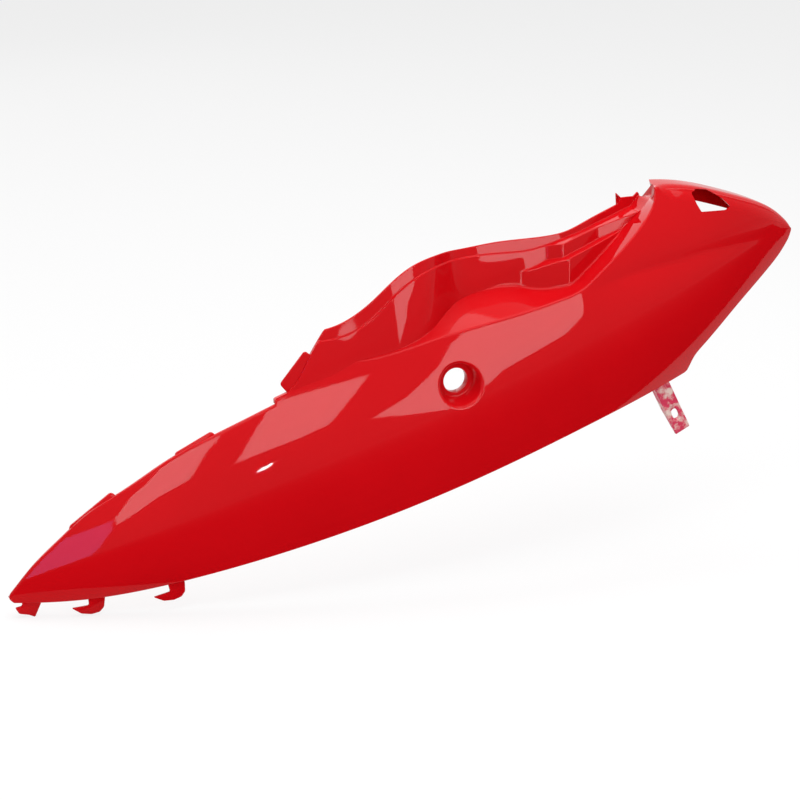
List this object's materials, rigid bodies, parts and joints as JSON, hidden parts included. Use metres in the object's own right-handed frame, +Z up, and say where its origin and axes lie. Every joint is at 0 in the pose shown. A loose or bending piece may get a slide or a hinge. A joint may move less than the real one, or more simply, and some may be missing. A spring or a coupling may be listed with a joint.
{
  "type": "scooter side fairing panel",
  "caption": "Long curved left side fairing panel for a scooter, moulded as a thin painted shell with a lock recess, a stepped air scoop, edge tabs, hooks and a bracket strap.",
  "frame": {"origin": "centre of the lock bore, on the floor of its recess", "axes": "+X to the rear of the vehicle, +Z up, -Y outwards, away from the vehicle (left side cover)"},
  "size_m": [0.8112, 0.1041, 0.3667],
  "materials": {
    "panel": "bright red paint under a gloss clear coat on moulded ABS"
  },
  "bodies": {
    "root": {"side_panel": "panel"}
  },
  "joints": []
}
